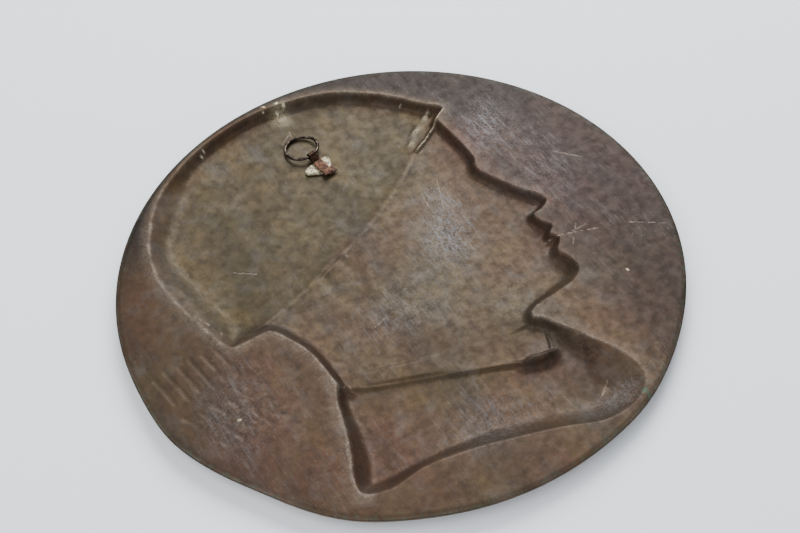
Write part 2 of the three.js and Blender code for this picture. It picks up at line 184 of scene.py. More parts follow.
def smoothLoop(points):
    p1 = np.array(points, float)
    p0, p2, p3 = np.roll(p1, 1, 0), np.roll(p1, -1, 0), np.roll(p1, -2, 0)
    g0, g1, g2 = (np.sqrt(np.linalg.norm(b - a, axis=1))[:, None] for a, b in ((p0, p1), (p1, p2), (p2, p3)))
    leave = ((p1 - p0) / g0 - (p2 - p0) / (g0 + g1) + (p2 - p1) / g1) * g1
    arrive = ((p2 - p1) / g1 - (p3 - p1) / (g1 + g2) + (p3 - p2) / g2) * g1
    steps = [p1 * (2 * t ** 3 - 3 * t * t + 1) + leave * (t ** 3 - 2 * t * t + t)
             + p2 * (3 * t * t - 2 * t ** 3) + arrive * (t ** 3 - t * t) for t in np.arange(7) / 7]
    return np.stack(steps, 1).reshape(-1, 2)


def level(thirds):
    return face["brow"] - thirds * face["third"]


capOutline = smoothLoop([
    (92, 2.5), (97, 16), (101, 34), (103.5, 54), (101.5, 72), (94, 90), (80, 109), (60, 123),
    (36, 132), (8, 135.5), (-16, 132), (-33, 126), (-48, 115.5), (-62, 101.5), (-71, 89.5), (-78, 81),
    (-71, 75.5), (-50, 63), (-32, 50), (-12, 38), (8, 29), (26, 22), (46, 15), (62, 10.5), (78, 7)])

# Forehead to chin: mm in front of the face plane, and thirds below the brow.
faceProfile = [(face["plane"] - out, level(thirds)) for out, thirds in (
    (-3, -0.95), (-0.5, -0.5), (0, -0.2), (-0.5, 0), (-3.5, 0.14), (0, 0.36), (6, 0.62), (13, 0.86),
    (13.5, 0.95), (8, 1.02), (2.5, 1.04), (3.2, 1.18), (5.8, 1.27), (2, 1.35), (4.2, 1.44), (2.4, 1.5),
    (-1.2, 1.58), (1.2, 1.75), (0.5, 1.9), (-6, 1.99), (-16, 2.02))]

headOutline = smoothLoop(faceProfile + [
    (-38, -60), (-36, -74), (10, -88), (46, -72), (60, -46), (61, -34), (62.5, -20), (67, -8),
    (72, 0.5), (82, 1.5), (93, 3), (92, 40), (70, 96), (20, 122), (-40, 112), (-66, 90)])

collarOutline = smoothLoop([
    (57, -38), (44, -41), (20, -49), (-2, -56), (-22, -61), (-37, -63), (-43, -70), (-40, -84),
    (-26, -82.5), (-11, -75), (9, -66.5), (29, -58), (49, -50), (61, -46)])

coatOutline = smoothLoop([
    (60, -44), (65.5, -52), (69, -64), (75, -80), (80, -91), (81, -100), (70, -105), (50, -104),
    (28, -108), (8, -114), (-12, -121), (-32, -129), (-52, -127), (-61, -117), (-60, -104),
    (-51, -85), (-45, -74), (-40, -67), (-30, -83), (-11, -75), (9, -66.5), (29, -58), (49, -50)])

jawLine = np.array([(-62, -58), (-40, -55.5), (-16, -46), (2, -33), (12, -16), (16, 0)], float)

# Shallow strokes beside the bust: a row's first and last place, and its strokes' count, length and lean.
strokeRows = (
    ((98, -3), (130, -3), 6, 21, 8), ((99, -25), (127, -25), 5, 8, 24), ((98, -42), (120, -42), 4, 8, 24),
    ((-97, 2), (-127, 2), 5, 12, 24), ((-92, -36), (-118, -36), 4, 9, 24),
    ((-86, -62), (-108, -62), 4, 8, 24))
strokeSize = {"halfWidth": 2.0, "rise": 0.9}


def strokeEnds():
    ends = []
    for first, last, count, length, lean in strokeRows:
        for i in range(count):
            middle = np.array(first) + (np.array(last) - np.array(first)) * i / (count - 1)
            half = (0.8 if i % 2 else 1.0) * length / 2
            reach = half * np.array((math.sin(math.radians(lean)), math.cos(math.radians(lean))))
            ends.append((middle - reach, middle + reach))
    return ends


strokes = strokeEnds()


def segmentDistance(places, a, b):
    a, b = np.array(a, float), np.array(b, float)
    share = np.clip((places - a) @ (b - a) / ((b - a) @ (b - a)), 0, 1)
    away = places - a - share[:, None] * (b - a)
    return np.hypot(away[:, 0], away[:, 1])


def pathDistance(places, path):
    return np.minimum.reduce([segmentDistance(places, a, b) for a, b in zip(path[:-1], path[1:])])


def depthInside(places, loop):                         # positive inside the loop
    nearest = np.full(len(places), np.inf)
    inside = np.zeros(len(places), bool)
    for a, b in zip(loop, np.roll(loop, -1, 0)):
        nearest = np.minimum(nearest, segmentDistance(places, a, b))
        if a[1] != b[1]:
            crossing = a[0] + (b[0] - a[0]) * (places[:, 1] - a[1]) / (b[1] - a[1])
            inside ^= ((a[1] > places[:, 1]) != (b[1] > places[:, 1])) & (places[:, 0] < crossing)
    return np.where(inside, nearest, -nearest)


def swell(depth, form):
    s = 1 - np.clip(depth / form["reach"], 0, 1)
    return form["edge"] + form["crown"] * np.sqrt(1 - s * s)


def bump(places, middle, spread, height):
    away = (places - np.array(middle)) / np.array(spread)
    return height * np.exp(-(away ** 2).sum(1))


def fold(places, path, width, height):
    return height * np.exp(-(pathDistance(places, path) / width) ** 2)


def headHeight(places, depth, side):
    u, v = places.T
    fine = side["detail"]
    height = swell(depth, forms["head"])
    below = np.where(v < np.interp(u, jawLine[:, 0], jawLine[:, 1], right=1e3), 1, -1)
    jawEnds = rise((u + 68) / 14) * (1 - rise((u - 8) / 16))
    height -= side["jawDrop"] * rise(0.5 + below * pathDistance(places, jawLine) / 9) * jawEnds
    height += bump(places, (-34, level(0.78)), (20, 22), 0.9)                # cheek
    height += bump(places, (-64, level(-0.06)), (11, 4.5), 0.7)              # brow
    height += bump(places, (-60, level(0.2)), (8, 6.5), -1.3 * fine)         # eye socket
    height += bump(places, (-57.5, level(0.17)), (5.5, 3.4), 1.1 * fine)     # eye
    height += bump(places, (-74, level(0.93)), (4.5, 4.5), 1.1 * fine)       # wing of the nose
    height += bump(places, (-64, level(0.85)), (4, 9), -0.6 * fine)
    height += bump(places, (-70, level(1.27)), (7, 2.6), 0.7 * fine)         # lips
    height += bump(places, (-69, level(1.45)), (6.5, 2.8), 0.7 * fine)
    height += bump(places, (-66, level(1.77)), (7, 6.5), 0.8)                # chin
    out = np.hypot((u - 25) / 9.5, (v - 12) / 20)                            # ear
    return height + fine * (1.5 * np.exp(-((out - 0.82) / 0.3) ** 2) + 0.5 * (1 - rise((out - 0.6) / 0.5)))


def capHeight(places, depth, side):
    soft = side["detail"] * rise(depth / 12)
    return (swell(depth, forms["cap"])
            + fold(places, ((-58, 76), (30, 108)), 7, -0.7) * soft
            + fold(places, ((-30, 56), (70, 92)), 6, -0.6) * soft
            + fold(places, ((10, 34), (86, 66)), 6, -0.7) * soft
            + fold(places, ((48, 18), (92, 40)), 5, -0.5) * soft)


def coatHeight(places, depth, side):
    soft = side["detail"] * rise(depth / 10)
    fromButton = np.hypot(*(places - np.array(forms["buttonAt"])).T)
    return (swell(depth, forms["coat"])
            + fold(places, ((40, -58), (62, -98)), 4, -0.8) * soft
            + fold(places, ((8, -72), (30, -104)), 5, -0.8) * soft
            + fold(places, ((-28, -86), (-10, -116)), 4, -0.8) * soft
            + forms["buttonHeight"] * rise((forms["buttonRadius"] - fromButton) / 2.4))


def wallAt(places, side):                              # width of the wall beside an outline, in mm
    soft = sum(bump(places, at, spread, extra) for at, spread, extra in side["softWalls"])
    return side["wall"] + soft + 10 * rise((-92 - places[:, 1]) / 14)


def layerDepths(places):
    loops = {"head": headOutline, "cap": capOutline, "collar": collarOutline, "coat": coatOutline}
    return {name: depthInside(places, loop) for name, loop in loops.items()}


def strokeHeight(places):
    nearest = np.minimum.reduce([segmentDistance(places, a, b) for a, b in strokes])
    return strokeSize["rise"] * rise(1 - nearest / strokeSize["halfWidth"])


def reliefHeight(places, depths, side):
    outline = np.maximum.reduce(list(depths.values()))

    def over(height, upper, depth):
        return height + (upper - height) * rise((depth + side["grow"] / 2) / side["step"])

    def inner(name):
        return np.maximum(depths[name], 0)

    height = headHeight(places, np.maximum(outline, 0), side)
    height = over(height, swell(inner("collar"), forms["collar"]), depths["collar"])
    height = over(height, coatHeight(places, inner("coat"), side), depths["coat"])
    height = over(height, capHeight(places, inner("cap"), side), depths["cap"])
    share = np.clip((outline + side["grow"]) / wallAt(places, side), 0, 1)
    height *= side["dish"] * share * (2 - share) + (1 - side["dish"]) * rise(share)
    height *= rise((fromRimAt(places) - forms["rimBevel"]) / forms["rimFade"])
    faint = 0.12 + 0.38 * rise((places[:, 0] - 20) / 40) if side is forms["back"] else 1
    return height + np.where(outline + side["grow"] > 0, 0, strokeHeight(places) * side["detail"] * faint)


def rimRadius(angle):
    radius = np.full_like(angle, discRadius)
    for at, size, spread in forms["rimBends"]:
        away = (angle - at + 180) % 360 - 180
        radius += size * np.exp(-(away / spread) ** 2)
    return radius


# The plaque's fine mesh. Each skin is a disc of even triangles, split smaller where the relief turns
# sharply.
fineMesh = {"rings": 70, "rimPull": 3.0, "nearFeature": 3.1, "onFeature": 1.5, "rimKept": 3.0}

# The back, as use and the workshop left it: scratches as two ends and a width, crumbs of flux as a place
# and a radius, and the stretches of the hollow's brow that are rubbed pale as a path, its reach and its
# strength.
scratches = (
    ((-70, -26), (-97, -36), 0.1), ((-79, -37), (-88, -27), 0.07), ((-84, -30), (-92, -30), 0.07),
    ((-109, -40), (-125, -52), 0.08), ((68, 48), (59, 41), 0.09), ((92, 13), (92, 18), 0.09),
    ((94, 20), (97, 27), 0.09), ((-38, -115), (-46, -109), 0.14), ((-38, 40), (-36, 28), 0.09),
    ((-50, 43), (-41, 22), 0.07), ((-44, 36), (-36, 31), 0.09), ((5, 112), (-1, 116), 0.16),
    ((-2, 115), (-3, 118), 0.14), ((-108, 20), (-118, 8), 0.07), ((20, -20), (27, -22), 0.07))
crumbs = (
    ((5, 47), 0.5), ((21, 32), 0.36), ((-62, 98), 0.43), ((12, 56), 0.36), ((76, 71), 0.29),
    ((46, 126), 0.58), ((44, 128), 0.43), ((51, 122), 0.43), ((49, 124.5), 0.29), ((-91, -65), 0.36),
    ((-94, -56), 0.29), ((108, -36), 0.65), ((-8, 133), 0.94), ((-5, 135.5), 0.86), ((-3, 132), 0.65),
    ((2, 137), 0.72), ((4, 134.5), 0.5), ((-1, 128), 0.36))
rubbed = {
    "capBack": (((90, 0), (97, 18), (103, 50), (101, 74), (95, 90)), 9.0, 0.85),
    "capBehind": (((93, 92), (78, 112)), 8.0, 0.4),
    "nape": (((80, 1), (70, -4), (64, -20), (60, -42)), 8.0, 0.75),
    "coat": (((63, -46), (70, -66), (80, -90), (84, -102)), 8.0, 1.0),
    "capTop": (((-10, 134), (-40, 122), (-60, 103), (-78, 82)), 8.0, 0.6),
    "throat": (((-12, -50), (-32, -56), (-44, -64), (-52, -84), (-60, -108)), 9.0, 0.7),
    "cheekbone": (((-80, 78), (-76, 40), (-88, 0)), 8.0, 0.35)}
brimRidges = (
    ((-49.5, 69), (-56.5, 76), (-63.5, 82), (-71.5, 85)),
    ((-51.5, 65), (-61.5, 70), (-71.5, 76), (-77.5, 79)))
scribedArc = ((84, -8), (88, -20), (90, -32), (89, -44), (85, -56))


def smear(places, middle, spread, turn=0.0):           # a soft patch, "turn" degrees anticlockwise
    u, v = (places - np.array(middle)).T
    c, s = math.cos(math.radians(turn)), math.sin(math.radians(turn))
    return np.exp(-((c * u + s * v) / spread[0]) ** 2 - ((c * v - s * u) / spread[1]) ** 2)


def unevenness(places, size, seed):                    # gentle lumps of the given size in mm, -1 to 1
    return np.array([noise.noise(Vector((u / size, v / size, seed))) for u, v in places])


def scratchDistance(places):
    return np.minimum.reduce([segmentDistance(places, a, b) - width for a, b, width in scratches])


def featureDistance(places, side):                     # to the nearest place where the relief turns sharply
    depths = layerDepths(places)
    order = ["head", "collar", "coat", "cap"]
    nearest = segmentDistance(places, *strokes[0])
    for a, b in strokes[1:]:
        nearest = np.minimum(nearest, segmentDistance(places, a, b))
    nearest = np.abs(nearest - strokeSize["halfWidth"] / 2)
    for i, name in enumerate(order):
        covered = np.full(len(places), -9.0)
        covered = np.maximum.reduce([depths[later] for later in order[i + 1:]] + [covered])
        inwards = depths[name] - (1.2 if name == "head" else 0.3)
        nearest = np.minimum(nearest, np.where(covered > 1.5, 99, np.abs(inwards)))
    if side is forms["back"]:
        return np.minimum(nearest, np.maximum(scratchDistance(places), 0))
    return np.minimum(nearest, frontDetailDistance(places))


def frontDetailDistance(places):
    return np.minimum.reduce([pathDistance(places, path) for path, _, _ in frontLines])


def roundDisc(name):                               # a hexagon of triangles, its rings drawn out to circles
    rings = fineMesh["rings"]
    deselectAll()
    bpy.ops.mesh.primitive_circle_add(vertices=6, radius=1, fill_type="TRIFAN")
    disc = bpy.context.object
    disc.name = name
    bpy.ops.object.mode_set(mode="EDIT")
    bpy.ops.mesh.select_all(action="SELECT")
    bpy.ops.mesh.subdivide(number_cuts=rings - 1)
    bpy.ops.object.mode_set(mode="OBJECT")
    x, y, _ = readPoints(disc).T
    corner = np.floor((np.degrees(np.arctan2(y, x)) - 30) % 360 / 60 + 1e-5) * 60 + 30
    a, b = np.radians(corner), np.radians(corner + 60)
    toNext = (y * np.cos(a) - x * np.sin(a)) / math.sin(math.radians(60))
    out = (x * np.sin(b) - y * np.cos(b)) / math.sin(math.radians(60)) + toNext
    angle = (corner + 60 * toNext / np.maximum(out, 1e-9)) % 360
    fromRim = rings * (1 - out)
    inset = fromRim ** 2 / (fromRim + fineMesh["rimPull"])
    radius = rimRadius(angle) * (1 - inset / inset.max())
    angle = np.radians(angle)
    writePoints(disc, np.column_stack((radius * np.cos(angle), radius * np.sin(angle), 0 * x)))
    return disc


def splitFaces(disc, chosen):
    selectFaces(disc, chosen)
    bpy.ops.mesh.subdivide(number_cuts=1)
    bpy.ops.mesh.select_all(action="SELECT")
    bpy.ops.mesh.quads_convert_to_tris(quad_method="BEAUTY", ngon_method="BEAUTY")
    bpy.ops.object.mode_set(mode="OBJECT")


def fromRimAt(places):                                 # mm in from the rim
    u, v = places.T
    return rimRadius(np.degrees(np.arctan2(v, u))) - np.hypot(u, v)


# Fine lines of the front: path, width, height.
frontLines = (
    (((-67, 35.5), (-62, 38), (-55, 37.5), (-50, 33)), 1.0, 0.55),           # upper lid
    (((-66, 30.5), (-60, 27.5), (-54, 28), (-50, 31)), 0.9, 0.35),           # lower lid
    (((-68, 36.5), (-60, 41), (-52, 40)), 1.2, -0.35),                       # crease over the lid
    (((-79, -6.5), (-75, -8.5), (-71, -6)), 1.0, -0.6),                      # nostril
    (((-71, -8), (-69, -2), (-71, 4)), 1.1, -0.45),                          # crease beside the wing
    (((-77, -24.6), (-70, -24), (-62.5, -25.5)), 0.8, -0.7),                 # between the lips
    (((25, -4), (19, 2), (17.5, 12), (20, 21)), 1.3, -0.6),                  # inside the ear's rim
    (((22, 6), (27, 2), (31, 7), (30, 14)), 1.5, -0.7),                      # the ear's hollow
    (((-66, 88), (-40, 73), (-18, 57), (8, 44), (34, 34), (58, 25), (86, 19)), 0.7, -0.45),    # the band's seam
    (((-44, 63.2), (-24, 50), (0, 36)), 0.6, 0.3),
    (((50, -46), (24, -53), (-4, -62), (-26, -68), (-39, -69)), 0.7, -0.35),  # stitched line of the collar
    (((-12, -80), (-24, -100), (-34, -126)), 0.9, -0.5),                     # the coat's front edge
)


def frontRelief(places, depths):
    fine = sum(fold(places, path, width, height) for path, width, height in frontLines)
    u, v = places.T
    hair = rise(depths["head"] / 2) * rise(-depths["cap"] / 1.5) * rise((-depths["collar"] - 1) / 2)
    nape = smear(places, (52, -8), (14, 26)) + 0.8 * smear(places, (2, 20), (7, 11))
    strands = np.sin((u * 0.9 - v * 0.35 + 2.2 * unevenness(places, 9, 3.0)) * 2 * math.pi / 3.1)
    return fine + 0.28 * strands * np.clip(nape, 0, 1) * hair


def backRelief(places):
    ragged = 1 + 0.5 * unevenness(places, 2.5, 5.0)
    height = sum(ragged * fold(places, ridge, 0.9, -1.3) for ridge in brimRidges)
    height += fold(places, scribedArc, 0.5, 0.2)
    height += 0.5 * smear(places, (-88, -78), (1.6, 1.3))
    height += 0.4 * unevenness(places, 3.5, 12.0) * smear(places, (100, -36), (20, 22))
    height += 0.08 * rise(1 - scratchDistance(places) / 0.5)
    for place, radius in crumbs:
        height -= 0.3 * rise(1 - np.hypot(*(places - np.array(place)).T) / radius)
    return height


def frontMasks(places, depths, height, inset):
    relief = np.maximum.reduce(list(depths.values()))
    rubbed = 0.55 * rise((height - 5.2) / 2.4) + 0.3 * np.exp(-((relief - 2.6) / 1.8) ** 2)
    return {
        "worn": np.clip(rubbed + 0.8 * rise(1 - inset / 1.6), 0, 1),
        "dark": np.clip(0.8 * np.exp(-((relief + 0.6) / 1.6) ** 2), 0, 1),
        "tone": 0.5 + 0.5 * unevenness(places, 45, 9.0),
    }


def backMasks(places, depths, inset):
    u, v = places.T
    outline = np.maximum.reduce(list(depths.values()))
    wobble = 0.9 * unevenness(places, 6, 6.0) + 0.5 * unevenness(places, 2, 7.0)
    broken = np.clip(0.6 + 0.9 * unevenness(places, 7, 8.0) + 0.4 * unevenness(places, 1.8, 4.0), 0.1, 1)
    brow = (broken * np.exp(-((outline + 0.2 + wobble) / 0.85) ** 2)
            + 0.28 * np.exp(-((outline + 2.6 + wobble) / 2.6) ** 2))
    brim = rise(depths["head"] / 6) * (0.6 + 0.6 * unevenness(places, 9, 11.0))
    reach = sum(fold(places, path, spread, strength) for path, spread, strength in rubbed.values())
    crumb = np.maximum.reduce([rise(1.4 - np.hypot(*(places - np.array(at)).T) / size)
                               for at, size in crumbs])
    ridges = np.maximum.reduce([fold(places, ridge, 0.6, 1.0) for ridge in brimRidges])
    # Pale bloom of dust and fine scratches, partly a painted sheen over the cheek and the middle of the back.
    bloomAndSheen = (0.95 * smear(places, (-33, 8), (12, 19), 25) + 0.5 * smear(places, (-44, 32), (6, 11), -20)
             + 0.5 * smear(places, (-90, 58), (11, 20), 40) + 0.3 * smear(places, (10, -20), (26, 14))
             + 0.4 * smear(places, (-44, -120), (18, 7), -10) + 0.28 * smear(places, (106, -34), (18, 24), 10)
             + 0.3 * smear(places, (12, -98), (24, 14)) + 0.25 * smear(places, (-96, 20), (16, 30)))
    blotch = np.clip(0.5 + 1.2 * unevenness(places, 4, 5.5), 0, 1)
    stroke = rise(strokeHeight(places) / strokeSize["rise"]) * blotch * rise((u - 20) / 40)
    return {
        # On the back, the pale along the rim's bevel and on the cap's side of its lower edge is partly wear and
        # partly a painted highlight.
        "worn": np.clip(brow * (0.1 + 1.25 * reach) + 0.25 * ridges + 0.2 * stroke
                        + (0.54 + 0.54 * unevenness(places, 12, 13.0)) * np.exp(-((inset - 0.8) / 0.6) ** 2)
                        + 0.45 * brim * np.exp(-((depths["cap"] - 0.6) / 0.7) ** 2), 0, 1),
        "crust": np.clip(crumb + 0.3 * ridges + 0.35 * smear(places, (-4, 129), (4, 5)), 0, 1),
        "bloomAndSheen": np.clip(bloomAndSheen, 0, 1),
        "scratch": rise(1 - scratchDistance(places) / 0.25),
        # On the back this is painted shade inside the hollows' outlines at the foot of their walls and on the
        # face's side of the cap's lower edge; the other terms darken small patches and the scribed arc.
        "dark": np.clip(0.15 * np.exp(-((outline - 3.0) / 2.2) ** 2)
                        + 0.6 * brim * np.exp(-((depths["cap"] + 1.0) / 1.2) ** 2)
                        + 0.7 * smear(places, (-88, -78), (2, 1.6))
                        + 0.5 * smear(places, (25, -1.5), (3, 1.6), -35)
                        + 0.5 * smear(places, (-46, -92), (4, 7), 30)
                        + fold(places, scribedArc, 0.6, 0.6), 0, 1),
        "green": np.clip(0.8 * smear(places, (-77, -8), (3, 3))
                         + 0.8 * smear(places, (-57, -126), (5, 3), 10)
                         + 0.3 * rise(1 - inset / 4), 0, 1),
        "tone": np.clip(0.62 + 0.38 * rise(depths["cap"] / 12) + 0.15 * rise(depths["head"] / 10)
                        - 0.5 * smear(places, (-110, 10), (50, 90)) - 0.08 * rise(depths["coat"] / 12)
                        - 0.35 * smear(places, (100, -70), (40, 50))
                        + 0.3 * unevenness(places, 38, 2.0), 0, 1),
        # Painted shade: the field is darkened towards the top and towards the right as the back is seen.
        "paintedShade": np.clip(0.9 * rise((v - 50) / 50) * rise(-outline / 4)
                         + 0.75 * rise((-u - 45) / 60) * rise(-outline / 4) + 0.1, 0, 1),
    }


def plaqueSkin(side):
    isFront = side is forms["front"]
    disc = roundDisc("frontSkin" if isFront else "backSkin")
    for reach in (fineMesh["nearFeature"], fineMesh["onFeature"]):
        middles = faceMiddles(disc)[:, :2]
        inner = fromRimAt(middles) > fineMesh["rimKept"]
        splitFaces(disc, inner & (featureDistance(middles, side) < reach))
    places = readPoints(disc)[:, :2]
    depths = layerDepths(places)
    inset = fromRimAt(places)
    height = reliefHeight(places, depths, side)
    inside = rise(np.maximum.reduce(list(depths.values())) / 3)
    drawn = forms["rimRounding"] * rise(1 - inset / forms["rimBevel"])
    lumps = 0.16 * unevenness(places, 24, 1.0) * rise(inset / 8)
    if isFront:
        y = fieldY - (plateThickness + height + frontRelief(places, depths) + lumps - drawn) * mm
        masks = frontMasks(places, depths, height, inset)
    else:
        fine = backRelief(places)
        y = fieldY - (np.maximum(height + fine, 0.0) + 0.5 * np.minimum(height + fine, 0.0) + drawn
                      + lumps * inside) * mm
        masks = backMasks(places, depths, inset)
    masks["front"] = np.full(len(places), float(isFront))
    for name in ("worn", "crust", "bloomAndSheen", "scratch", "dark", "green", "tone", "paintedShade", "front"):
        giveAttribute(disc, name, masks.get(name, np.zeros(len(places))))
    writePoints(disc, np.column_stack((centreX + places[:, 0] * mm, y, centreZ + places[:, 1] * mm)))
    print("skin", disc.name, len(disc.data.polygons), "triangles")
    return disc


def makePlaque(material):
    frontSkin, backSkin = plaqueSkin(forms["front"]), plaqueSkin(forms["back"])
    makeActive(frontSkin)
    backSkin.select_set(True)
    bpy.ops.object.join()
    bpy.ops.object.mode_set(mode="EDIT")
    bpy.ops.mesh.select_mode(type="EDGE")
    bpy.ops.mesh.select_all(action="DESELECT")
    bpy.ops.mesh.select_non_manifold(use_wire=False, use_multi_face=False, use_non_contiguous=False,
                                     use_verts=False)
    bpy.ops.mesh.bridge_edge_loops(number_cuts=1)
    bpy.ops.mesh.select_all(action="SELECT")
    bpy.ops.mesh.normals_make_consistent(inside=False)
    bpy.ops.object.mode_set(mode="OBJECT")
    plaque = finishPiece(bpy.context.object, "bronzePlaque", material, 80)
    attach(plaque, "plaque")
    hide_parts("plaque")


# Adds a node and gives back one of its outputs. An input is a plain value or another node's socket.
def addNode(tree, kind, inputs=None, output=0, **settings):
    node = tree.nodes.new("ShaderNode" + kind)
    for key, value in settings.items():
        setattr(node, key, value)
    for socket, value in (inputs or {}).items():
        if isinstance(value, bpy.types.NodeSocket):
            tree.links.new(value, node.inputs[socket])
        else:
            node.inputs[socket].default_value = value
    return node.outputs[output]


def newMaterial(name):
    material = bpy.data.materials.new(name)
    material.use_nodes = True
    tree = material.node_tree
    return material, tree, tree.nodes["Principled BSDF"]


def perMetre(size):                                    # a noise scale from a feature's size in mm
    return 1000 / size


bronze = {
    "brown": "#2f2923", "olive": "#3e3623", "gold": "#54462c", "red": "#4b2d24", "deep": "#19120f",
    "bloomAndSheen": "#77777a", "dust": "#5e5c5b", "pale": "#695f55", "crust": "#b8ad91", "scratch": "#80766b",
    "green": "#2f5244",
    "metallic": 0.45, "specular": 0.15, "roughness": (0.42, 0.66), "bump": 0.05}       # bump in mm


# Cast bronze with a brown patina: dull where oxide and dust sit, smoother and paler where handling rubbed
# it.
def castBronze():
    material, tree, shader = newMaterial("castBronzePatina")
    place = addNode(tree, "TexCoord", output="Object")
    rubbing = addNode(tree, "Mapping", {"Vector": place, "Rotation": (0, 0.9, 0), "Scale": (1, 1, 0.14)})
    wiping = addNode(tree, "Mapping", {"Vector": place, "Rotation": (0, -0.5, 0), "Scale": (1, 1, 0.07)})

    def cloud(size, low, high, most=1.0, vector=place, detail=5.0, twist=0.0):
        value = addNode(tree, "TexNoise", {"Vector": vector, "Scale": perMetre(size), "Detail": detail,
                                           "Roughness": 0.62, "Distortion": twist})
        return addNode(tree, "MapRange", {"Value": value, "From Min": low, "From Max": high, "To Max": most})

    def read(name):
        return addNode(tree, "Attribute", output="Fac", attribute_name=name)

    def combine(operation, a, b):
        return addNode(tree, "Math", {0: a, 1: b}, operation=operation, use_clamp=True)

    def coat(under, code, factor):
        return addNode(tree, "Mix", {0: factor, 6: under, 7: toLinear(bronze[code])}, 2, data_type="RGBA")

    mottle = cloud(5, 0.4, 0.68, detail=7.0)
    streak = cloud(1.3, 0.52, 0.7, vector=rubbing)
    hair = cloud(0.7, 0.6, 0.72, vector=wiping, detail=3.0)
    cluster = cloud(26, 0.42, 0.66)

    colour = coat(toLinear(bronze["red"]), "olive", read("tone"))
    colour = coat(colour, "gold", combine("MULTIPLY", cloud(24, 0.45, 0.7, 0.75, twist=0.8), read("tone")))
    colour = coat(colour, "brown", cloud(17, 0.38, 0.66, 0.6, rubbing))
    colour = coat(colour, "deep", combine("MULTIPLY", mottle, 0.34))
    colour = coat(colour, "dust", cloud(14, 0.5, 0.8, 0.3, twist=0.6))
    # Painted shade on the back field, darker towards its top and its right as seen from behind.
    colour = coat(colour, "deep", combine("MULTIPLY", read("paintedShade"), 0.9))
    scuffs = combine("MULTIPLY", combine("ADD", streak, combine("MULTIPLY", hair, 0.6)), cluster)
    colour = coat(colour, "dust", combine("MULTIPLY", scuffs, 0.22))
    grit = cloud(1.1, 0.42, 0.66)
    # The pale bloom, partly a painted sheen over the cheek and the middle of the back.
    bloomAndSheenGrain = combine("ADD", combine("MULTIPLY", streak, 0.7), combine("MULTIPLY", grit, 0.6))
    bloomAndSheenAt = combine("MULTIPLY", read("bloomAndSheen"), bloomAndSheenGrain)
    colour = coat(colour, "bloomAndSheen", bloomAndSheenAt)
    # Dark patina in the front's creases; on the back, partly painted shade at the hollows' walls and beside the
    # cap's lower edge.
    colour = coat(colour, "deep", combine("MULTIPLY", read("dark"), combine("ADD", mottle, 0.4)))
    colour = coat(colour, "gold", combine("MULTIPLY", read("front"), cloud(12, 0.4, 0.8, 0.3)))
    wornGrain = combine("ADD", combine("MULTIPLY", grit, 0.6), 0.3)
    # Rubbed pale; on the back's rim bevel and at the cap's lower edge partly a painted highlight.
    colour = coat(colour, "pale", combine("MULTIPLY", read("worn"), wornGrain))
    colour = coat(colour, "green", combine("MULTIPLY", read("green"), cloud(3, 0.5, 0.62)))
    specks = combine("MULTIPLY", cloud(0.9, 0.68, 0.74, 0.8, detail=2.0), cluster)
    colour = coat(colour, "pale", specks)
    crusted = combine("MULTIPLY", read("crust"), cloud(1.2, 0.36, 0.5))
    colour = coat(colour, "crust", crusted)
    colour = coat(colour, "scratch", combine("MULTIPLY", read("scratch"), cloud(2.4, 0.4, 0.6, 0.65)))

    low, high = bronze["roughness"]
    dulled = combine("ADD", combine("MULTIPLY", mottle, 0.6), bloomAndSheenAt)
    rough = addNode(tree, "MapRange", {"Value": dulled, "To Min": low, "To Max": high})
    pitting = combine("ADD", combine("MULTIPLY", mottle, 0.5), combine("MULTIPLY", grit, 0.2))
    height = combine("ADD", pitting, crusted)
    normal = addNode(tree, "Bump", {"Height": height, "Distance": bronze["bump"] * mm, "Strength": 1.0})
    tree.links.new(colour, shader.inputs["Base Color"])
    tree.links.new(rough, shader.inputs["Roughness"])
    tree.links.new(normal, shader.inputs["Normal"])
    shader.inputs["Metallic"].default_value = bronze["metallic"]
    shader.inputs["Specular IOR Level"].default_value = bronze["specular"]
    return material


def simpleMetal(name, base, worn, dark, metallic, roughness, wornSize, bump):
    material, tree, shader = newMaterial(name)
    place = addNode(tree, "TexCoord", output="Object")
    patches = addNode(tree, "TexNoise", {"Vector": place, "Scale": perMetre(wornSize), "Detail": 5.0})
    fine = addNode(tree, "TexNoise", {"Vector": place, "Scale": perMetre(wornSize / 5), "Detail": 4.0})
    wornAt = addNode(tree, "MapRange", {"Value": patches, "From Min": 0.46, "From Max": 0.62})
    darkAt = addNode(tree, "MapRange", {"Value": fine, "From Min": 0.5, "From Max": 0.68, "To Max": 0.75})
    colour = addNode(tree, "Mix", {0: wornAt, 6: toLinear(base), 7: toLinear(worn)}, 2, data_type="RGBA")
    colour = addNode(tree, "Mix", {0: darkAt, 6: colour, 7: toLinear(dark)}, 2, data_type="RGBA")
    rough = addNode(tree, "MapRange", {"Value": fine, "From Min": 0.3, "From Max": 0.7,
                                       "To Min": roughness[0], "To Max": roughness[1]})
    normal = addNode(tree, "Bump", {"Height": fine, "Distance": bump * mm, "Strength": 1.0})
    tree.links.new(colour, shader.inputs["Base Color"])
    tree.links.new(rough, shader.inputs["Roughness"])
    tree.links.new(normal, shader.inputs["Normal"])
    shader.inputs["Metallic"].default_value = metallic
    return material


makePlaque(castBronze())
print("plaque made")


# The hanger's own frame: its origin is the eye of the strap, x runs along the hinge, y away from the plaque
# and z up to the nail.
swing = frame["joints"][0]
eye = Vector(swing["pos_m"])
hinge = -Vector(swing["axis"])
ringLow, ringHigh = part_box("hanging_ring")
ringMiddle = Vector(((ringLow.x + ringHigh.x) / 2, eye.y / 2, (ringLow.z + ringHigh.z) / 2))


def hangerFrame(origin, up):
    out = hinge.cross(up).normalized() * -1
    return Matrix.Translation(origin) @ Matrix((hinge, out, up)).transposed().to_4x4()


ring = {"radius": 8.85, "wire": 0.85, "segments": 128, "sides": 16, "jointAt": 190, "jointOffset": 0.5}


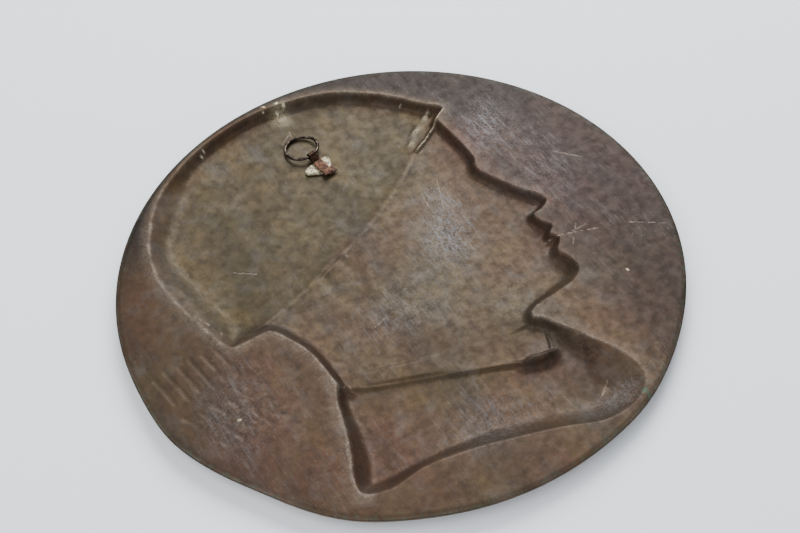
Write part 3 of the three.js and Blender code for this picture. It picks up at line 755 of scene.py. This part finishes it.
def makeRing(material):                                # bent wire, its cut ends butted a little out of line
    deselectAll()
    bpy.ops.mesh.primitive_torus_add(major_segments=ring["segments"], minor_segments=ring["sides"],
                                     major_radius=ring["radius"] * mm, minor_radius=ring["wire"] * mm)
    wire = bpy.context.object
    middles = faceMiddles(wire)
    step = 360 / ring["segments"]
    fromJoint = (np.degrees(np.arctan2(middles[:, 1], middles[:, 0])) - ring["jointAt"]) % 360
    selectFaces(wire, fromJoint < step)
    bpy.ops.mesh.delete(type="FACE")
    bpy.ops.mesh.select_mode(type="EDGE")
    bpy.ops.mesh.select_all(action="DESELECT")
    bpy.ops.mesh.select_non_manifold(use_wire=False, use_multi_face=False, use_non_contiguous=False,
                                     use_verts=False)
    bpy.ops.mesh.fill_holes(sides=0)
    bpy.ops.object.mode_set(mode="OBJECT")
    isEnd = np.array([len(face.vertices) == ring["sides"] for face in wire.data.polygons])
    selectFaces(wire, isEnd)
    bpy.ops.mesh.inset(thickness=0.25 * mm, depth=0.12 * mm, use_individual=True)
    bpy.ops.object.mode_set(mode="OBJECT")
    points = readPoints(wire)
    share = (np.degrees(np.arctan2(points[:, 1], points[:, 0])) - ring["jointAt"] - step / 2) % 360 / 360
    points[:, 2] -= ring["jointOffset"] * mm * rise((share - 0.9) / 0.1)
    writePoints(wire, points)
    up = (ringMiddle - eye).normalized()
    wire.matrix_world = hangerFrame(ringMiddle, up) @ Matrix.Rotation(math.radians(90), 4, "X")
    finishPiece(wire, "wireRing", material, 50)
    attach(wire, "ring")
    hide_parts("hanging_ring")


strap = {"thickness": 0.5, "eyeRadius": 1.6, "eyeWidth": 4.2, "tailWidth": 5.4, "length": 16.4,
         "lowerAt": -1.62, "upperAt": -1.05, "splay": 4.0, "across": 8}


def makeStrap(material):
    radius, foot = strap["eyeRadius"], strap["length"]
    turn = np.radians(np.linspace(180, -42, 40))
    loop = np.column_stack((radius * np.cos(turn), radius * np.sin(turn)))
    lower = np.column_stack((np.full(30, strap["lowerAt"]), np.linspace(-foot, -0.4, 30)))
    lower[:, 0] = np.interp(lower[:, 1], [-foot, -0.4], [strap["lowerAt"], -radius])
    upper = np.column_stack((np.full(30, strap["upperAt"]), np.linspace(-4.4, -foot + 0.6, 30)))
    path = np.vstack((lower, loop, upper))
    deselectAll()
    bpy.ops.mesh.primitive_grid_add(x_subdivisions=strap["across"], y_subdivisions=len(path) - 1, size=1)
    strip = bpy.context.object
    points = readPoints(strip)
    row = np.rint((points[:, 1] + 0.5) * (len(path) - 1)).astype(int)
    out, up = path[row].T
    isUpper = rise((row - len(lower) - 30) / 12)
    isLower = rise((len(lower) - row) / 12)
    width = np.interp(-up, [1.8, 7], [strap["eyeWidth"], strap["tailWidth"]])
    across = points[:, 0] * width
    ragged = 0.9 * unevenness(np.column_stack((points[:, 0] * 5, row * 0)), 1.3, 7.0)
    up = up + ragged * rise((-up - foot + 3) / 2)
    lean = math.tan(math.radians(strap["splay"]))
    across = across - up * lean * (isUpper - isLower)
    out = out + 0.12 * unevenness(np.column_stack((across, up)), 3.0, 4.0) * rise((-up - 3) / 3)
    writePoints(strip, np.column_stack((across, out, up)) * mm)
    strip.matrix_world = hangerFrame(eye, hinge.cross(Vector((0, 1, 0))).normalized())
    makeActive(strip)
    applyModifier(strip, "SOLIDIFY", thickness=strap["thickness"] * mm, offset=0)
    applyModifier(strip, "BEVEL", width=0.12 * mm, segments=2, limit_method="ANGLE")
    finishPiece(strip, "copperStrap", material, 40)
    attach(strip, "plaque")
    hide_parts("hanger_strap")


solder = {"lump": 0.35, "lobe": 1.1, "thickness": 0.55, "strapHalf": 2.9}


def makeSolder(material):
    low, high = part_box("solder")
    middle, half = (low + high) / 2, (high - low) / 2
    deselectAll()
    bpy.ops.mesh.primitive_ico_sphere_add(subdivisions=6, radius=1)
    blob = bpy.context.object
    x, y, z = readPoints(blob).T
    reach = np.hypot(x, z)
    angle = np.arctan2(z, x)
    outline = 1 + 0.16 * np.cos(2 * angle + 0.4) + 0.1 * np.sin(3 * angle + 1) + 0.06 * np.cos(5 * angle)
    along = np.sin(np.minimum(reach, 1) * math.pi / 2) ** 0.8 * outline / np.maximum(reach, 1e-6)
    u, v = x * along * half.x / mm / 1.15, z * along * half.z / mm / 1.15
    places = np.column_stack((u, v))
    lumps = solder["lump"] * (unevenness(places, 2.2, 3.0) + 0.5 * unevenness(places, 0.9, 8.0))
    beside = rise((np.abs(u) - solder["strapHalf"] + 0.5) / 1.2)
    dent = 0.7 * smear(places, (-5.6, 1.0), (1.6, 1.9)) + 0.5 * smear(places, (5.2, 0), (1.5, 2.2))
    top = solder["thickness"] + beside * (solder["lobe"] + lumps - dent)
    thick = np.sqrt(np.clip(1 - reach ** 4, 0, 1))
    out = np.where(y > 0, top * thick, -0.25 * thick)
    writePoints(blob, np.column_stack((middle.x + u * mm, low.y + out * mm, middle.z + v * mm)))
    finishPiece(blob, "solderPatch", material, 60)
    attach(blob, "plaque")
    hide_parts("solder")


makeRing(simpleMetal("darkenedSteelWire", "#241d18", "#574c42", "#120e0b", 0.9, (0.25, 0.45), 2.5, 0.01))
makeStrap(simpleMetal("foldedCopperStrip", "#26150c", "#4f3322", "#100905", 0.85, (0.3, 0.55), 2.2, 0.02))
makeSolder(simpleMetal("dulledSolderAndFlux", "#c4b998", "#5e574a", "#766a52", 0.25, (0.45, 0.75), 1.6, 0.06))
print("hanger made")


# The table under the plaque as it lies, the room's floor, and soft studio light.
studio = {
    "table": "#eef2f7", "tableRadius": 0.6, "floorDrop": 1.2, "floorSize": 12.0,
    "world": "#e3e8ee", "worldStrength": 0.5,
    "window": {"toward": (0.16, 0.74, 0.7), "distance": 1.3, "size": 1.0, "power": 28.0},
    "fill": {"toward": (-0.6, -0.3, 1.0), "distance": 1.6, "size": 1.8, "power": 21.3},
    "frontLights": (((-1.1, -1.0, 0.9), 38.0), ((0.9, -1.2, -0.5), 14.0)),
    "frontLightDistance": 1.6, "frontLightSize": 0.8}


def makeTable():                                       # seen only from above, as the plaque lies on it
    deselectAll()
    bpy.ops.mesh.primitive_circle_add(vertices=96, radius=studio["tableRadius"], fill_type="NGON",
                                      location=onDisc(0, 0), rotation=(math.radians(-90), 0, 0))
    table = bpy.context.object
    table.location.y = plaqueLow.y - 0.3 * mm
    table.name = "tableTop"
    bpy.ops.object.transform_apply(location=True, rotation=True, scale=True)
    material, tree, shader = newMaterial("paleTable")
    shader.inputs["Base Color"].default_value = toLinear(studio["table"])
    shader.inputs["Roughness"].default_value = 0.8
    beneath = addNode(tree, "NewGeometry", output="Backfacing")
    clear = addNode(tree, "BsdfTransparent")
    seen = addNode(tree, "MixShader", {0: beneath, 1: shader.outputs["BSDF"], 2: clear})
    tree.links.new(seen, tree.nodes["Material Output"].inputs["Surface"])
    table.data.materials.append(material)
    table.visible_shadow = table.visible_diffuse = table.visible_glossy = False


def makeFloor():
    deselectAll()
    bpy.ops.mesh.primitive_plane_add(size=studio["floorSize"], location=(0, 0, -studio["floorDrop"]))
    floor = bpy.context.object
    floor.name = "roomFloor"
    material, _, shader = newMaterial("palePaintedFloor")
    shader.inputs["Base Color"].default_value = toLinear(studio["table"])
    shader.inputs["Roughness"].default_value = 0.9
    floor.data.materials.append(material)


def makeLight(name, direction, distance, size, power):
    place = onDisc(0, 0) + direction.normalized() * distance
    facing = direction.to_track_quat("Z", "Y").to_euler()
    bpy.ops.object.light_add(type="AREA", location=place, rotation=facing)
    light = bpy.context.object
    light.name = light.data.name = name
    light.data.shape = "DISK"
    light.data.size = size
    light.data.energy = power


def makeStudio():
    for name in ("window", "fill"):
        lamp = studio[name]
        direction = lyingAxes() @ Vector(lamp["toward"])
        makeLight(name + "Light", direction, lamp["distance"], lamp["size"], lamp["power"])
    for i, (place, power) in enumerate(studio["frontLights"]):
        makeLight(f"frontLight{i}", Vector(place), studio["frontLightDistance"], studio["frontLightSize"],
                  power)
    world = bpy.data.worlds.new("paleRoom")
    world.use_nodes = True
    background = world.node_tree.nodes["Background"]
    background.inputs["Color"].default_value = toLinear(studio["world"])
    background.inputs["Strength"].default_value = studio["worldStrength"]
    bpy.context.scene.world = world


makeTable()
makeFloor()
makeStudio()
print("studio made")
